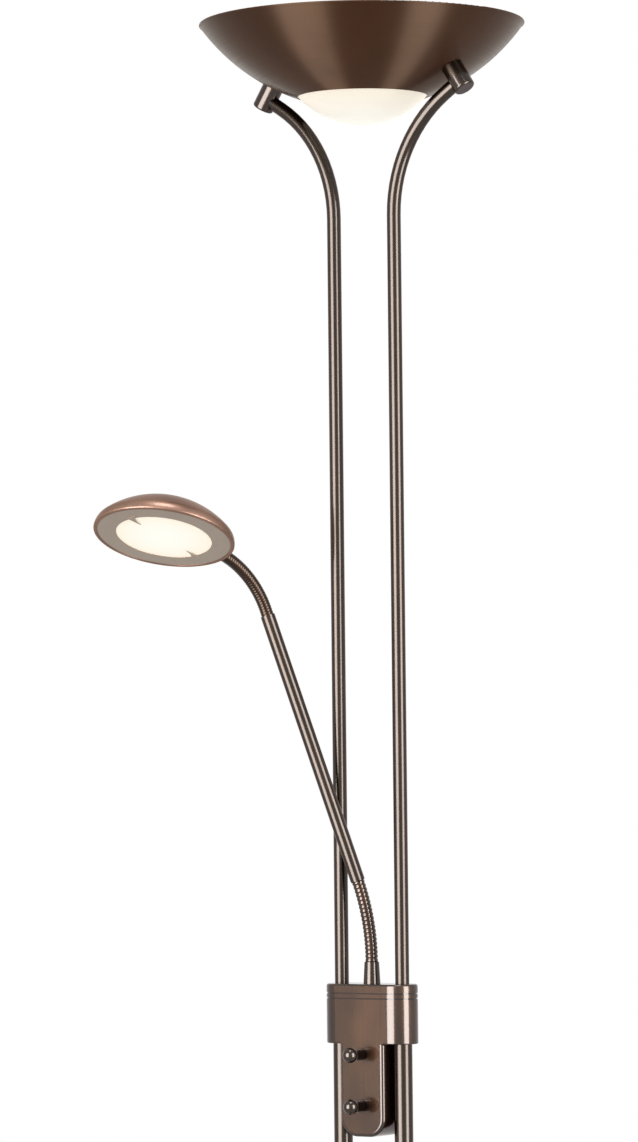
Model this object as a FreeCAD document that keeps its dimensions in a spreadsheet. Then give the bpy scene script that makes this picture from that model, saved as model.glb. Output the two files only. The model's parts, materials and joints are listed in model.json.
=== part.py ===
import FreeCAD, Part
import math
import os
import re

import Sketcher

# Torchiere floor lamp with a reading light on a flexible arm.
# Millimetres. Origin: centre of the base's underside, on the floor.
# +X along the pair of poles, -Y towards the two knobs, +Z up.

EDGE_TOLERANCE = 0.01  # how near an edge must lie to a height or face to count as on it

doc = FreeCAD.newDocument("torchiere_floor_lamp")
sheet = doc.addObject("Spreadsheet::Sheet", "dim")

SIZES = [
    # base
    ("base_d", 260, "outer diameter of the base cover"),
    ("base_height", 30, "height of the cover's flat top above the floor"),
    ("base_skirt", 14, "height of the cover's upright edge"),
    ("base_flat_d", 110, "diameter of the cover's flat top"),
    ("base_wall", 1.2, "sheet thickness of the cover"),
    ("pad_thick", 2, "thickness of the floor pad"),
    ("pad_inset", 3, "how far the pad stays inside the cover's edge"),
    ("plate_thick", 1.5, "thickness of the bottom plate"),
    ("recess_length", 116, "length of the wiring recess in the casting"),
    ("recess_width", 46, "width of the wiring recess in the casting"),
    ("recess_depth", 13, "depth of the wiring recess in the casting"),
    ("plate_screw_d", 4, "thread diameter of the bottom plate's screws"),
    ("plate_screw_length", 10, "length of the bottom plate's screws"),
    ("plate_screw_circle", 200, "circle that the bottom plate's screws stand on"),
    ("gland_d", 11, "outer diameter of the cord gland's flange"),
    ("gland_body_d", 9.5, "outer diameter of the cord gland's barrel"),
    ("gland_bore", 7.5, "bore of the cord gland"),
    ("gland_height", 8.6, "height of the cord gland's axis above the floor"),
    ("gland_flange", 2.5, "thickness of the cord gland's flange"),
    ("gland_length", 14, "length of the cord gland's barrel"),
    ("terminal_length", 26, "length of the terminal block"),
    ("terminal_width", 14, "width of the terminal block"),
    ("terminal_height", 8, "height of the terminal block"),
    ("terminal_bore", 3.2, "bore of a terminal"),
    ("slot_width", 0.8, "width and depth of a screw's slot"),
    ("thread_end", 1, "how far a thread passes its nut"),
    ("foot_height", 12, "height of the trim at the poles' foot"),
    # poles
    ("pole_spacing", 63, "distance between the poles' axes"),
    ("lower_pole_d", 16, "outer diameter of the lower poles"),
    ("lower_pole_wall", 1.5, "wall of the lower poles"),
    ("upper_pole_d", 12, "outer diameter of the upper poles"),
    ("stud_d", 10, "diameter of the hollow threaded studs"),
    ("stud_bore", 7, "bore of the hollow threaded studs"),
    ("bush_length", 20, "length of the threaded bush at a lower pole's end"),
    ("stud_grip", 16, "length of a stud inside a pole"),
    ("nut_width", 17, "width across the flats of the foot nuts"),
    ("nut_height", 5, "height of the foot nuts"),
    ("washer_d", 22, "outer diameter of the foot washers"),
    ("washer_thick", 1.6, "thickness of the foot washers"),
    # switch housing
    ("collar_base", 923, "height of the collar's underside"),
    ("collar_height", 51, "height of the collar"),
    ("collar_length", 88, "length of the collar along the pole pair"),
    ("collar_depth", 34, "depth of the collar and of the tongue"),
    ("lid_height", 7.5, "height of the collar's lid"),
    ("groove_width", 1, "width of the grooves round the collar"),
    ("groove_depth", 0.8, "depth of the grooves round the collar"),
    ("second_groove", 11.8, "distance of the second groove below the collar's top"),
    ("collar_round", 2.2, "rounding of the collar's upper and lower edge"),
    ("tongue_width", 44.8, "width of the tongue that carries the knobs"),
    ("tongue_length", 79, "length of the tongue below the collar"),
    ("tongue_corner", 16, "radius of the tongue's lower corners"),
    ("tongue_round", 3, "rounding of the tongue's long edges"),
    ("housing_wall", 2.5, "wall of the switch housing"),
    ("lower_socket", 10, "depth of the sockets for the lower poles"),
    ("upper_socket", 9, "depth of the sockets for the upper poles, below the lid"),
    ("back_post_d", 7, "diameter of the posts that the back cover is screwed to"),
    ("back_screw_d", 3, "thread diameter of the back cover's screws"),
    ("back_screw_length", 9, "length of the back cover's screws"),
    ("back_screw_head_d", 6, "head diameter of the back cover's screws"),
    ("back_screw_head", 1.5, "head height of the back cover's screws"),
    ("post_lift", 1, "gap between the lower post and the tongue's wall"),
    ("back_thick", 2, "thickness of the back cover"),
    # knobs
    ("knob_drop", 8.8, "distance of the upper knob below the collar"),
    ("knob_pitch", 43.8, "distance between the two knobs"),
    ("knob_ball_d", 13, "diameter of a knob's ball"),
    ("knob_reach", 16.5, "distance of the ball's centre from the panel"),
    ("knob_gap", 0.4, "gap between a knob's stem and the panel"),
    ("knob_stem_d", 9.6, "diameter of a knob's stem"),
    ("shaft_d", 4, "diameter of a dimmer's shaft"),
    ("shaft_grip", 13, "length of the shaft inside the knob"),
    ("dimmer_width", 18, "width and height of a dimmer's case"),
    ("dimmer_depth", 12, "depth of a dimmer's case"),
    ("dimmer_lift", 1, "gap between a dimmer's case and the panel"),
    ("dimmer_bush_d", 7, "diameter of a dimmer's threaded bush"),
    ("dimmer_nut_d", 11, "diameter of a dimmer's flush nut"),
    ("dimmer_nut_thick", 1.2, "thickness of a dimmer's flush nut"),
    # bowl
    ("rim_height", 1799, "height of the bowl's rim, below its bead"),
    ("rim_d", 280, "diameter of the bowl's rim"),
    ("bowl_radius", 172, "outer radius of the sphere that the bowl is part of"),
    ("bowl_wall", 1, "sheet thickness of the bowl"),
    ("rim_bead", 1, "radius of the bead on the rim"),
    ("glass_hole_d", 112.6, "diameter of the hole in the bowl's bottom"),
    ("glass_radius", 75, "outer radius of the glass dome"),
    ("glass_thick", 3, "wall of the glass dome"),
    ("glass_flange", 7.5, "width of the glass dome's flange outside the hole"),
    # knuckles
    ("knuckle_angle", 33, "angle of a knuckle from the vertical"),
    ("knuckle_d", 18.5, "diameter of a knuckle"),
    ("knuckle_length", 24, "length of a knuckle"),
    ("knuckle_seat", 14.4, "distance from the bowl's skin to the pole's axis"),
    ("knuckle_round", 1.8, "rounding of a knuckle's free end"),
    ("pole_end", 19, "straight stretch of an upper pole at the knuckle"),
    ("pole_stop", 3, "distance from a pole's end to the knuckle's axis"),
    ("nipple_d", 8, "diameter of the hollow nipple in a knuckle"),
    ("nipple_bore", 5, "bore of the hollow nipple in a knuckle"),
    ("nipple_grip", 6, "length of the nipple inside the knuckle"),
    ("nipple_nut_width", 13, "width across the flats of a nipple's nut"),
    ("nipple_nut_height", 4, "height of a nipple's nut"),
    ("nipple_washer_d", 16, "outer diameter of a nipple's washer"),
    ("nipple_washer_thick", 1, "thickness of a nipple's washer"),
    # lamp in the bowl
    ("bridge_thick", 1.5, "sheet thickness of the lamp bridge"),
    ("bridge_width", 24, "width of the lamp bridge's arms"),
    ("bridge_foot", 9, "half length of the bridge's seat round a nipple"),
    ("bridge_lift", 0.7, "gap between the bowl and the middle of the bridge's seat"),
    ("bridge_ring_d", 132, "outer diameter of the ring that holds the glass down"),
    ("bridge_hole_d", 104, "opening of the ring that holds the glass down"),
    ("tube_length", 118, "length of the halogen tube with its caps"),
    ("tube_d", 10, "diameter of the halogen tube"),
    ("tube_cap_d", 11, "diameter of a ceramic cap on the halogen tube"),
    ("tube_cap_length", 9, "length of a ceramic cap on the halogen tube"),
    ("tube_height", 13, "height of the halogen tube above the bridge"),
    ("holder_depth", 8, "thickness of a lamp holder along the tube"),
    ("holder_width", 16, "width of a lamp holder"),
    ("holder_height", 22, "height of a lamp holder"),
    ("guard_width", 56, "width of the guard glass over the tube"),
    ("guard_thick", 3, "thickness of the guard glass"),
    ("guard_rise", 27, "height of the guard glass above the bridge"),
    ("guard_overhang", 6, "how far the guard glass passes a lamp holder"),
    # reading arm
    ("arm_heading", 215, "direction of the arm from above, from +X towards +Y"),
    ("ferrule_height", 18.5, "height of the arm's ferrule"),
    ("ferrule_base_d", 14.6, "diameter of the ferrule at the lid"),
    ("ferrule_top_d", 12.6, "diameter of the ferrule at the neck"),
    ("ferrule_thread_d", 10, "diameter of the ferrule's thread"),
    ("ferrule_nut_width", 16, "width across the flats of the ferrule's nut"),
    ("ferrule_nut_height", 4, "height of the ferrule's nut"),
    ("neck_d", 11, "outer diameter of the flexible necks"),
    ("neck_bore", 4, "bore of the flexible necks"),
    ("rib_pitch", 3.56, "distance from rib to rib of the flexible necks"),
    ("rib_radius", 1.6, "radius of a rib's round section"),
    ("rib_height", 0.8, "height of a rib above the neck's core"),
    ("neck_seat", 5, "how far a neck's end sits inside its ferrule"),
    ("lower_neck_length", 70.5, "free length of the lower neck"),
    ("lower_neck_bend", 18.2, "bend of the lower neck at rest"),
    ("arm_tube_length", 240.5, "length of the rigid arm tube"),
    ("arm_tube_d", 12.4, "outer diameter of the rigid arm tube"),
    ("tube_bush", 8, "length of the bushes inside the arm tube"),
    ("upper_neck_lead", 5, "straight start of the upper neck"),
    ("upper_neck_radius", 71, "radius of the upper neck's bend at rest"),
    # head
    ("head_heading", 253, "direction in which the neck enters the head, from above"),
    ("head_climb", 19.5, "slope of the neck where it enters the head"),
    ("head_roll", 11.6, "roll of the head about the neck's end"),
    ("head_d", 121, "diameter of the head"),
    ("head_height", 33, "height of the head's dome"),
    ("head_shoulder", 12, "radius of the dome's shoulder above the ring"),
    ("head_wall", 1.2, "wall of the head's dome"),
    ("head_lip", 3.4, "width of the dome's turned-in lip"),
    ("head_lip_height", 2.2, "height of the dome's turned-in lip"),
    ("entry_height", 9, "height of the neck's axis above the ring"),
    ("entry_radius", 58, "distance of the neck's end from the head's centre"),
    ("ring_thick", 2, "thickness of the head's ring"),
    ("ring_recess", 0.3, "how far the ring lies inside the dome's lip"),
    ("lens_d", 82, "diameter of the head's glass"),
    ("lens_thick", 3, "thickness of the head's glass"),
    ("lens_recess", 0.8, "how far the glass lies above the ring's face"),
    ("upstand_wall", 1, "wall of the ring's upstand round the glass"),
    ("ledge_width", 2.8, "how far the ring's ledge reaches behind the glass"),
    ("ledge_thick", 1.4, "thickness of the ring's ledge"),
    ("socket_d", 12.4, "outer diameter of the head's swivel socket"),
    ("socket_length", 12, "length of the head's swivel socket"),
    ("socket_thread_d", 7, "diameter of the socket's thread"),
    ("socket_nut_width", 9, "width across the flats of the socket's nut"),
    ("socket_nut_height", 2.2, "height of the socket's nut"),
    ("yoke_width", 18, "width of the yoke that the socket turns in"),
    ("yoke_margin", 0.8, "metal above the yoke's bore"),
    ("yoke_thick", 1.5, "thickness of the yoke that the socket turns in"),
    ("reflector_height", 24, "height of the head's reflector"),
    ("reflector_foot", 5.2, "height of the reflector's straight foot"),
    ("reflector_wall", 0.6, "wall of the head's reflector"),
    ("lamp_base_length", 12, "length of the reading lamp's holder"),
    ("lamp_base_width", 14, "width of the reading lamp's holder"),
    ("lamp_axis_rise", 5.8, "height of the capsule's axis above the bracket"),
    ("capsule_start", 12, "distance of the capsule's base from the head's centre"),
    ("bracket_width", 12, "width of the reading lamp's bracket"),
    ("bracket_screw_d", 1.4, "thread diameter of the bracket's screws"),
    ("bracket_screw_head_d", 2.4, "head diameter of the bracket's screws"),
    ("bracket_screw_head", 1.4, "head height of the bracket's screws"),
    ("bracket_thick", 1.2, "thickness of the reading lamp's bracket"),
    ("capsule_d", 11, "diameter of the reading lamp's capsule"),
    ("capsule_length", 30, "length of the reading lamp's capsule"),
    ("clip_reach", 12, "how far a spring clip reaches over the head's glass"),
    ("clip_width", 9, "width of a spring clip at its root"),
    ("clip_bow", 18, "radius of a spring clip's curved side"),
    ("clip_thick", 0.8, "thickness of a spring clip"),
    ("clip_angle", 12, "place of the first spring clip, from the far side of the neck"),
    # clearances
    ("run_gap", 0.05, "radial gap of a running fit"),
    ("slip_gap", 0.1, "gap round a piece that passes through a hole"),
    ("seat_gap", 0.2, "gap round a piece that is laid into a recess"),
]

for row, (alias, size, meaning) in enumerate(SIZES, start=1):
    sheet.set(f"A{row}", meaning)
    sheet.set(f"B{row}", str(size))
    sheet.setAlias(f"B{row}", alias)
doc.recompute()

ALIASES = {alias for alias, size, meaning in SIZES}

# Sizes that follow from the driving ones.
DERIVED = {
    "pole_x": "pole_spacing / 2",
    "plate_z": "pad_thick",
    "weight_z": "pad_thick + plate_thick",
    "weight_top": "base_height - base_wall",
    "base_drop": "base_height - base_skirt",
    "dome_run": "(base_d - base_flat_d) / 2",
    "dome_radius": "(dome_run ^ 2 + base_drop ^ 2) / (2 * base_drop)",
    "recess_top": "weight_z + recess_depth",
    "collar_top": "collar_base + collar_height",
    "lid_z": "collar_top - lid_height",
    "tongue_base": "collar_base - tongue_length",
    "panel_y": "-collar_depth / 2",
    "upper_knob_z": "collar_base - knob_drop",
    "lower_knob_z": "upper_knob_z - knob_pitch",
    "post_upper_z": "(upper_knob_z + lower_knob_z) / 2",
    "post_lower_z": "tongue_base + housing_wall + back_post_d / 2 + post_lift",
    "dimmer_y": "panel_y + housing_wall + dimmer_lift",
    "upper_pole_z": "lid_z - upper_socket",
    "lower_pole_top": "collar_base + lower_socket",
    "bowl_z": "rim_height + sqrt(bowl_radius ^ 2 - (rim_d / 2) ^ 2)",
    "inner_radius": "bowl_radius - bowl_wall",
    "inner_rim": "sqrt(inner_radius ^ 2 - (bowl_z - rim_height) ^ 2)",
    "hole_z": "bowl_z - sqrt(bowl_radius ^ 2 - (glass_hole_d / 2) ^ 2)",
    "flange_r": "glass_hole_d / 2 + glass_flange",
    "flange_z": "bowl_z - sqrt(inner_radius ^ 2 - flange_r ^ 2) + slip_gap",
    "glass_neck": "glass_hole_d / 2 - 2 * seat_gap",
    "hole_inner_z": "bowl_z - sqrt(inner_radius ^ 2 - (glass_hole_d / 2) ^ 2)",
    "glass_z": "hole_inner_z + sqrt(glass_radius ^ 2 - glass_neck ^ 2)",
    "bridge_z": "flange_z + glass_thick",
    "bridge_flat": "(tube_length / 2 + holder_depth + clip_thick + seat_gap)",
    "seat_reach": "bowl_radius + knuckle_seat",
    "seat_x": "seat_reach * sin(knuckle_angle)",
    "seat_z": "bowl_z - seat_reach * cos(knuckle_angle)",
    "foot_x": "bowl_radius * sin(knuckle_angle)",
    "foot_z": "bowl_z - bowl_radius * cos(knuckle_angle)",
    "bend_end_x": "seat_x - pole_end * cos(knuckle_angle)",
    "bend_end_z": "seat_z - pole_end * sin(knuckle_angle)",
    "pole_bend": "(bend_end_x - pole_x) / (1 - sin(knuckle_angle))",
    "bend_start_z": "bend_end_z - pole_bend * cos(knuckle_angle)",
    "tip_x": "seat_x - pole_stop * cos(knuckle_angle)",
    "tip_z": "seat_z - pole_stop * sin(knuckle_angle)",
    "neck_radius": "lower_neck_length * 180 / (pi * lower_neck_bend)",
    "shoulder_x": "head_d / 2 - head_shoulder",
    "shoulder_z": "head_lip_height / 2",
    "crown_rise": "head_height - shoulder_z",
    "crown_radius": "(shoulder_x ^ 2 + crown_rise ^ 2 - head_shoulder ^ 2) / crown_depth",
    "crown_depth": "2 * (crown_rise - head_shoulder)",
    "crown_z": "head_height - crown_radius",
    "crown_share": "head_shoulder / (crown_radius - head_shoulder)",
    "blend_x": "shoulder_x * (1 + crown_share)",
    "blend_z": "shoulder_z + (shoulder_z - crown_z) * crown_share",
    "wall_share": "(head_shoulder - head_wall) / (crown_radius - head_shoulder)",
    "wall_blend_x": "shoulder_x * (1 + wall_share)",
    "wall_blend_z": "shoulder_z + (shoulder_z - crown_z) * wall_share",
    "lip_r": "head_d / 2 - head_lip",
    "ledge_z": "lens_recess + lens_thick + seat_gap",
    "ledge_top": "ledge_z + ledge_thick",
    "ledge_r": "lens_d / 2 - ledge_width",
    "yoke_x": "-entry_radius + socket_length",
    "mirror_z": "ledge_top + reflector_foot",
    "mirror_rise": "reflector_height - mirror_z",
}


def spell(expression):
    """The expression with derived names written out and driving names tied to the sheet."""
    def swap(match):
        word = match.group(0)
        if word in ALIASES:
            return "dim." + word
        if word in DERIVED:
            return "(" + spell(DERIVED[word]) + ")"
        return word
    return re.sub(r"[a-z]\w*", swap, str(expression))


def number(expression):
    return float(sheet.evalExpression(spell(expression)))


def bind(thing, name, expression):
    thing.setExpression(name, spell(expression))


def place(thing, x="0", y="0", z="0"):
    for axis, expression in zip("xyz", (x, y, z)):
        bind(thing, "Placement.Base." + axis, expression)
    return thing


# ---- Part primitives -------------------------------------------------------------------------

AXES = {
    "z": FreeCAD.Rotation(),
    "x": FreeCAD.Rotation(FreeCAD.Vector(0, 1, 0), 90),
    "y": FreeCAD.Rotation(FreeCAD.Vector(1, 0, 0), -90),
}


def cylinder(radius, height, x="0", y="0", z="0", axis="z"):
    """A round bar that starts at (x, y, z) and runs along the axis."""
    bar = doc.addObject("Part::Cylinder", "Bar")
    bind(bar, "Radius", radius)
    bind(bar, "Height", height)
    bar.Placement.Rotation = AXES[axis]
    return place(bar, x, y, z)


def cone(lower, upper, height, x="0", y="0", z="0"):
    taper = doc.addObject("Part::Cone", "Taper")
    bind(taper, "Radius1", lower)
    bind(taper, "Radius2", upper)
    bind(taper, "Height", height)
    return place(taper, x, y, z)


def block(length, width, height, x="0", y="0", z="0"):
    """A box whose lowest corner is (x, y, z)."""
    box = doc.addObject("Part::Box", "Block")
    bind(box, "Length", length)
    bind(box, "Width", width)
    bind(box, "Height", height)
    return place(box, x, y, z)


def hexagon(width, height, x="0", y="0", z="0", axis="z"):
    """A hexagonal bar, by its width across the flats."""
    bar = doc.addObject("Part::Prism", "Hexagon")
    bar.Polygon = 6
    bind(bar, "Circumradius", f"({width}) / sqrt(3)")
    bind(bar, "Height", height)
    bar.Placement.Rotation = AXES[axis]
    return place(bar, x, y, z)


def fuse(*shapes):
    joined = doc.addObject("Part::MultiFuse", "Joined")
    joined.Shapes = list(shapes)
    joined.Refine = True
    return joined


def cut(base, *tools):
    result = doc.addObject("Part::Cut", "Cut")
    result.Base = base
    result.Tool = tools[0] if len(tools) == 1 else fuse(*tools)
    return result


def tube(outer, inner, height, x="0", y="0", z="0", axis="z"):
    return cut(cylinder(outer, height, x, y, z, axis), cylinder(inner, height, x, y, z, axis))


def group(*shapes):
    several = doc.addObject("Part::Compound", "Several")
    several.Links = list(shapes)
    return several


# ---- sketches and features -------------------------------------------------------------------

def newBody():
    return doc.addObject("PartDesign::Body", "Body")


def newSketch(body, plane, offset="0"):
    """An empty sketch on one of the body's origin planes, moved along the plane's normal."""
    sketch = body.newObject("Sketcher::SketchObject", "Sketch")
    support = [item for item in body.Origin.OriginFeatures if item.Role == plane + "_Plane"][0]
    sketch.AttachmentSupport = [(support, "")]
    sketch.MapMode = "FlatFace"
    bind(sketch, "AttachmentOffset.Base.z", offset)
    return sketch


def pin(sketch, edge, end, x, y):
    """Ties an edge's end to a point of the sketch's plane."""
    for kind, axis, expression in (("DistanceX", -2, x), ("DistanceY", -1, y)):
        if str(expression) == "0":
            sketch.addConstraint(Sketcher.Constraint("PointOnObject", edge, end, axis))
        else:
            index = sketch.addConstraint(Sketcher.Constraint(kind, edge, end, number(expression)))
            bind(sketch, f"Constraints[{index}]", expression)


def trace(sketch, steps, closed=True):
    """Draws edges through the steps.

    (x, y) ends a straight edge and (x, y, radius) an arc that turns left. A fourth entry, "right",
    turns the arc the other way.
    """
    points = [FreeCAD.Vector(number(step[0]), number(step[1]), 0) for step in steps]
    count = len(steps) if closed else len(steps) - 1
    ends = []
    for index in range(count):
        start = points[index]
        stop = points[(index + 1) % len(steps)]
        target = steps[(index + 1) % len(steps)]
        if len(target) == 2:
            edge = sketch.addGeometry(Part.LineSegment(start, stop))
            ends.append((edge, 1, 2))
            continue
        radius = number(target[2])
        side = -1 if len(target) == 4 else 1
        chord = stop - start
        rise = math.sqrt(max(radius ** 2 - chord.Length ** 2 / 4, 0))
        left = FreeCAD.Vector(-chord.y, chord.x, 0).normalize()
        centre = (start + stop) / 2 + left * rise * side
        circle = Part.Circle(centre, FreeCAD.Vector(0, 0, 1), radius)
        a, b = (start, stop) if side > 0 else (stop, start)
        angles = [math.atan2(point.y - centre.y, point.x - centre.x) for point in (a, b)]
        if angles[1] < angles[0]:
            angles[1] += 2 * math.pi
        edge = sketch.addGeometry(Part.ArcOfCircle(circle, angles[0], angles[1]))
        ends.append((edge, 1, 2) if side > 0 else (edge, 2, 1))
        held = sketch.addConstraint(Sketcher.Constraint("Radius", edge, radius))
        bind(sketch, f"Constraints[{held}]", target[2])
    for index, (edge, start, stop) in enumerate(ends):
        pin(sketch, edge, start, steps[index][0], steps[index][1])
        if index + 1 < len(ends) or closed:
            following, begin, end = ends[(index + 1) % len(ends)]
            sketch.addConstraint(Sketcher.Constraint("Coincident", edge, stop, following, begin))
        else:
            pin(sketch, edge, stop, steps[-1][0], steps[-1][1])


def ring(sketch, radius, x="0", y="0"):
    """A circle in the sketch."""
    centre = FreeCAD.Vector(number(x), number(y), 0)
    edge = sketch.addGeometry(Part.Circle(centre, FreeCAD.Vector(0, 0, 1), number(radius)))
    index = sketch.addConstraint(Sketcher.Constraint("Radius", edge, number(radius)))
    bind(sketch, f"Constraints[{index}]", radius)
    pin(sketch, edge, 3, x, y)


def racetrack(sketch, length, width):
    """An oval with straight long sides, centred on the sketch's origin."""
    end = f"(({length}) - ({width})) / 2"
    half = f"({width}) / 2"
    trace(sketch, [
        (f"-({end})", f"-({half})", half),
        (end, f"-({half})"),
        (f"({length}) / 2", "0", half),
        (end, half, half),
        (f"-({end})", half),
        (f"-({length}) / 2", "0", half),
    ])
    return sketch


def revolve(body, sketch, kind="Revolution"):
    turned = body.newObject("PartDesign::" + kind, kind)
    turned.Profile = sketch
    turned.ReferenceAxis = (sketch, ["V_Axis"])
    turned.Angle = 360
    return turned


def pad(body, sketch, length, both=False, reverse=False):
    raised = body.newObject("PartDesign::Pad", "Pad")
    raised.Profile = sketch
    bind(raised, "Length", length)
    if both:
        raised.SideType = "Symmetric"
    raised.Reversed = reverse
    return raised


def pocket(body, sketch, length, both=False, reverse=False):
    sunk = body.newObject("PartDesign::Pocket", "Pocket")
    sunk.Profile = sketch
    bind(sunk, "Length", length)
    if both:
        sunk.SideType = "Symmetric"
    sunk.Reversed = reverse
    return sunk


def turnedBody(steps):
    """A body turned about its Z axis from half a section in the XZ plane."""
    body = newBody()
    sketch = newSketch(body, "XZ")
    trace(sketch, steps)
    revolve(body, sketch)
    return body


def edgesAt(shape, height):
    """Names of the edges that lie wholly at a height."""
    names = []
    for index, edge in enumerate(shape.Edges, start=1):
        low, high = edge.BoundBox.ZMin, edge.BoundBox.ZMax
        if abs(low - height) < EDGE_TOLERANCE and abs(high - height) < EDGE_TOLERANCE:
            names.append(f"Edge{index}")
    return names


def rounded(body, feature, names, radius):
    """Rounds the named edges of a body's feature."""
    edges = body.newObject("PartDesign::Fillet", "Fillet")
    edges.Base = (feature, names)
    bind(edges, "Radius", radius)
    doc.recompute()
    return edges


NODES = {}


def keep(label, thing):
    """Names a finished piece."""
    thing.Label = label
    NODES[label] = thing
    return thing


# ---- base ------------------------------------------------------------------------------------

def makeBase():
    floorPad = cylinder("base_d / 2 - pad_inset", "pad_thick")
    keep("base_pad", floorPad)

    # bottom plate, screwed to the casting from below
    rim = "base_d / 2 - base_wall - seat_gap"
    plate = cylinder(rim, "plate_thick", z="plate_z")
    screws = []
    countersinks = []
    threads = []
    for turn in (45, 135, 225, 315):
        x = f"plate_screw_circle / 2 * cos({turn})"
        y = f"plate_screw_circle / 2 * sin({turn})"
        head = cone("plate_screw_d", "plate_screw_d / 2", "plate_thick", x, y, "plate_z")
        shank = cylinder("plate_screw_d / 2", "plate_screw_length - plate_thick", x, y, "weight_z")
        screws.append(fuse(head, shank))
        countersinks.append(cone("plate_screw_d + slip_gap", "plate_screw_d / 2 + slip_gap",
                                 "plate_thick", x, y, "plate_z"))
        threads.append(cylinder("plate_screw_d / 2 + run_gap", "plate_screw_length", x, y, "plate_z"))
    keep("base_plate", cut(plate, *countersinks))
    keep("base_plate_screws", group(*screws))

    # cast weight that fills the cover
    cast = turnedBody([
        ("0", "weight_z"),
        (rim, "weight_z"),
        (rim, "base_skirt - base_wall"),
        ("base_flat_d / 2", "weight_top", "dome_radius - base_wall"),
        ("0", "weight_top"),
    ])
    recessSketch = racetrack(newSketch(cast, "XY", "weight_z"), "recess_length", "recess_width")
    recess = pocket(cast, recessSketch, "recess_depth", reverse=True)
    studHoles = newSketch(cast, "XY", "weight_top")
    for side in ("pole_x", "-pole_x"):
        ring(studHoles, "stud_d / 2 + slip_gap", side)
    pocket(cast, studHoles, "weight_top - weight_z")
    channel = newSketch(cast, "XY", "weight_z")
    half = "(gland_body_d / 2 + seat_gap)"
    trace(channel, [
        ("-" + half, "recess_width / 2 - housing_wall"),
        (half, "recess_width / 2 - housing_wall"),
        (half, "base_d / 2"),
        ("-" + half, "base_d / 2"),
    ])
    pocket(cast, channel, "gland_height + gland_body_d / 2 + seat_gap - weight_z", reverse=True)
    keep("base_weight", cut(cast, *threads))

    # spun cover
    cover = turnedBody([
        ("0", "weight_top"),
        ("base_flat_d / 2", "weight_top"),
        ("base_d / 2 - base_wall", "base_skirt - base_wall", "dome_radius - base_wall", "right"),
        ("base_d / 2 - base_wall", "pad_thick"),
        ("base_d / 2", "pad_thick"),
        ("base_d / 2", "base_skirt"),
        ("base_flat_d / 2", "base_height", "dome_radius"),
        ("0", "base_height"),
    ])
    topHoles = newSketch(cover, "XY", "base_height")
    for side in ("pole_x", "-pole_x"):
        ring(topHoles, "stud_d / 2 + slip_gap", side)
    pocket(cover, topHoles, "2 * base_wall")
    glandHole = cylinder("gland_body_d / 2 + run_gap", "gland_length", y="base_d / 2 - gland_length / 2",
                         z="gland_height", axis="y")
    keep("base_cover", cut(cover, glandHole))

    # gland that the mains flex would pass through, with its nut inside the cover
    barrel = cylinder("gland_body_d / 2", "gland_length", y="base_d / 2 - gland_length",
                      z="gland_height", axis="y")
    flange = cylinder("gland_d / 2", "gland_flange", y="base_d / 2", z="gland_height", axis="y")
    bore = cylinder("gland_bore / 2", "gland_length + gland_flange", y="base_d / 2 - gland_length",
                    z="gland_height", axis="y")
    keep("cord_gland", cut(fuse(barrel, flange), bore))

    block_z = "weight_z + seat_gap"
    terminals = block("terminal_length", "terminal_width", "terminal_height", "-terminal_length / 2",
                      "-terminal_width / 2", block_z)
    wireHoles = [cylinder("terminal_bore / 2", "terminal_width", f"{step} * terminal_length / 3",
                          "-terminal_width / 2", block_z + " + terminal_height / 2", axis="y")
                 for step in (-1, 0, 1)]
    keep("terminal_block", cut(terminals, *wireHoles))

    # trim round the poles' foot
    foot = newBody()
    oval = racetrack(newSketch(foot, "XY", "base_height"), "collar_length", "collar_depth")
    raised = pad(foot, oval, "foot_height")
    doc.recompute()
    rounded(foot, raised, edgesAt(raised.Shape, number("base_height + foot_height")), "collar_round")
    footHoles = newSketch(foot, "XY", "base_height + foot_height")
    for side in ("pole_x", "-pole_x"):
        ring(footHoles, "lower_pole_d / 2 + slip_gap", side)
    pocket(foot, footHoles, "foot_height")
    keep("foot_flange", foot)


# ---- poles -----------------------------------------------------------------------------------

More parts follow.
